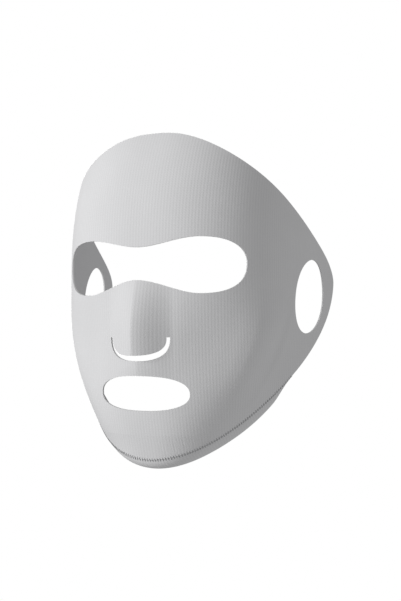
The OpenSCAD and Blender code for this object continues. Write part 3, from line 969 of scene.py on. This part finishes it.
def stitches(name, depth, side):
    """One row of stitches as a mesh. Each is a bent tube that comes out of the face panel, lies
    over the butted edges and goes down into the chin panel; side is -1 inside the mask."""
    chin, reach = sizes("chin"), seam_reach()
    count = int(2 * chin.last * STITCH_CROWDING * reach / chin.stitch_pitch)
    rings, sides = 7, 6
    f = chin.last * (2 * np.arange(1, count) / count - 1)
    lean = side * 0.5 / (2 * count)
    s = (f - lean) * reach
    z = jaw_z(np.abs(s)) + chin.stitch_reach
    upper, upper_n = place(s, z), facing(s, z)
    g = np.full_like(f, chin.stitch_reach / (2 * chin.belly))
    lower, lower_n = chin_place(f + lean, g), chin_facing(f + lean, g)
    t = np.linspace(0, 1, rings)[None, :, None]
    normal = unit(mix(upper_n[:, None], lower_n[:, None], t))
    lift = chin.thread_d * mix(-STITCH_SINK, STITCH_RISE, bow(2 * t - 1, STITCH_SQUARE))
    middle = mix(upper[:, None], lower[:, None], t) + normal * side * (lift - depth * side)
    along = unit(np.gradient(middle, axis=1))
    out = unit(np.cross(np.cross(along, normal * side), along))
    across = np.cross(along, out)
    q = np.arange(sides) / sides
    cosine, sine = np.cos(q * 2 * np.pi)[:, None], np.sin(q * 2 * np.pi)[:, None]
    ring = cosine * across[:, :, None] + sine * out[:, :, None]
    points = (middle[:, :, None] + ring * chin.thread_d / 2).reshape(-1, 3)
    k, j = np.meshgrid(np.arange(rings - 1), np.arange(sides), indexing="ij")
    beside = (j + 1) % sides
    near, far = k * sides, (k + 1) * sides
    quads = np.stack([near + j, near + beside, far + beside, far + j], -1).reshape(-1, 4)
    starts = np.arange(count - 1) * rings * sides
    tubes = (starts[:, None, None] + quads).reshape(-1, 4).tolist()
    first = (starts[:, None] + np.arange(sides)[::-1]).tolist()
    last = (starts[:, None] + (rings - 1) * sides + np.arange(sides)).tolist()
    span = np.linalg.norm(np.diff(middle, axis=1), axis=2).cumsum(1)
    run = np.concatenate([np.zeros((count - 1, 1)), span], 1)
    uv = np.stack(np.broadcast_arrays(run[:, :, None], q), -1).reshape(-1, 2)
    return new_object(name, points, tubes + first + last, uv)


def add_seam():
    """The needle stitches outside and the looper stitches inside, each riding on the face."""
    c = sizes("cloth")
    total = c.outer_t + c.core_t + c.lining_t
    for name, node, depth, side in (
        ("seam_needle_stitches", "seam_needle_thread", 0, 1),
        ("seam_looper_stitches", "seam_looper_thread", total, -1),
    ):
        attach(finish(stitches(name, depth, side), "seam_thread", node), "face")


# --- the studio --------------------------------------------------------------------------------


def add_light(name, place_at, size, power):
    """Round soft light that faces the mask."""
    light = bpy.data.lights.new(name, "AREA")
    light.shape, light.size, light.energy = "DISK", size, power
    obj = bpy.data.objects.new(name, light)
    obj.location = place_at
    obj.rotation_euler = (Vector(LIGHT_AIM) - Vector(place_at)).to_track_quat("-Z", "Y").to_euler()
    bpy.context.scene.collection.objects.link(obj)


def add_camera():
    """Camera aimed by its yaw and rise about the origin, then shifted across and up."""
    st = sizes("studio")
    sy, cy, sr, cr = math.sin(st.yaw), math.cos(st.yaw), math.sin(st.rise), math.cos(st.rise)
    back, right = Vector((sy * cr, -cy * cr, sr)), Vector((cy, sy, 0))
    up = back.cross(right)
    data = bpy.data.cameras.new("camera")
    data.sensor_width, data.lens = 36, st.lens
    camera = bpy.data.objects.new("camera", data)
    camera.matrix_world = Matrix.Translation(back * st.distance - right * st.across - up * st.above) @ Matrix(
        (right, up, back)).transposed().to_4x4()
    bpy.context.scene.collection.objects.link(camera)
    bpy.context.scene.camera = camera


def add_floor():
    """Floor and backdrop in one: a flat disc that curves up into a dome, seen only directly."""
    radius, corner, segments = 3.0, 1.0, 64
    q = np.linspace(0, np.pi / 2, 12)
    curve = np.stack([radius - corner + corner * np.sin(q), corner - corner * np.cos(q)], 1)
    dome = np.stack([radius * np.cos(q[1:]), corner + radius * np.sin(q[1:])], 1)
    profile = np.vstack([[1e-3, 0], curve, dome])
    turn = np.arange(segments) / segments * 2 * np.pi
    points = np.stack([
        np.outer(profile[:, 0], np.cos(turn)),
        np.outer(profile[:, 0], np.sin(turn)),
        np.repeat(profile[:, 1:] + sizes("studio").floor_z, segments, 1),
    ], -1).reshape(-1, 3)
    at = np.arange(len(profile) * segments).reshape(len(profile), segments)
    nxt = np.roll(at, -1, 1)
    faces = np.stack([at[:-1], nxt[:-1], nxt[1:], at[1:]], -1).reshape(-1, 4).tolist()
    faces.append(at[0][::-1].tolist())
    floor = new_object("floor", points, faces, points[:, :2])
    shader = Shader("floor_white", (1, 1, 1))
    shader.set(shader.surface, {
        "Base Color": (0, 0, 0, 1),
        "Roughness": 1,
        "Specular IOR Level": 0,
        "Emission Color": (1, 1, 1, 1),
        "Emission Strength": 1.0,
    })
    floor.data.materials.append(shader.material)
    floor.visible_diffuse = floor.visible_glossy = floor.visible_shadow = floor.visible_transmission = False


def add_stage():
    st = sizes("studio")
    add_camera()
    add_floor()
    world = bpy.data.worlds.new("studio")
    world.use_nodes = True
    background = world.node_tree.nodes["Background"]
    background.inputs["Color"].default_value = (1, 1, 1, 1)
    background.inputs["Strength"].default_value = st.fill
    bpy.context.scene.world = world
    bpy.context.scene.view_settings.view_transform = "Standard"
    add_light("key", (-0.75, -0.98, 0.3), 0.6, st.key)
    add_light("low", (0.9, 0.45, -0.65), 0.8, st.low)


# --- operators and panel -----------------------------------------------------------------------


class MASK_OT_stage(bpy.types.Operator):
    """Add the camera, the floor and the soft light"""

    bl_idname = "mask.stage"
    bl_label = "Add Studio"

    def execute(self, context):
        add_stage()
        return {"FINISHED"}


class MASK_OT_face(bpy.types.Operator):
    """Add the three layers of the face panel and its nose flap"""

    bl_idname = "mask.face"
    bl_label = "Add Face Panel"

    def execute(self, context):
        add_face()
        return {"FINISHED"}


class MASK_OT_wings(bpy.types.Operator):
    """Add the three layers of both ear wings"""

    bl_idname = "mask.wings"
    bl_label = "Add Ear Wings"

    def execute(self, context):
        add_wings()
        return {"FINISHED"}


class MASK_OT_chin(bpy.types.Operator):
    """Add the three layers of the under-chin panel"""

    bl_idname = "mask.chin"
    bl_label = "Add Chin Panel"

    def execute(self, context):
        add_chin()
        return {"FINISHED"}


class MASK_OT_seam(bpy.types.Operator):
    """Add the needle and looper stitches of the chin seam"""

    bl_idname = "mask.seam"
    bl_label = "Add Chin Seam"

    def execute(self, context):
        add_seam()
        return {"FINISHED"}


OPERATORS = [MASK_OT_stage, MASK_OT_face, MASK_OT_wings, MASK_OT_chin, MASK_OT_seam]


class MASK_PT_panel(bpy.types.Panel):
    """Lists the operators and every size and colour."""

    bl_idname = "MASK_PT_panel"
    bl_label = "Moulded Knit Mask"
    bl_space_type = "VIEW_3D"
    bl_region_type = "UI"
    bl_category = "Mask"

    def draw(self, context):
        for kind in OPERATORS:
            self.layout.operator(kind.bl_idname)
        for name, group in GROUPS.items():
            box = self.layout.box()
            box.label(text=name.capitalize())
            for key in group.__annotations__:
                box.prop(getattr(context.scene, "mask_" + name), key)


def register():
    for cls in (*GROUPS.values(), *OPERATORS, MASK_PT_panel):
        bpy.utils.register_class(cls)
    for name, group in GROUPS.items():
        setattr(bpy.types.Scene, "mask_" + name, PointerProperty(type=group))


def unregister():
    for name in GROUPS:
        delattr(bpy.types.Scene, "mask_" + name)
    for cls in (MASK_PT_panel, *reversed(OPERATORS), *reversed(GROUPS.values())):
        bpy.utils.unregister_class(cls)


def main():
    register()
    bpy.ops.mask.stage()
    bpy.ops.mask.face()
    bpy.ops.mask.wings()
    bpy.ops.mask.chin()
    bpy.ops.mask.seam()


if __name__ == "__main__":
    main()
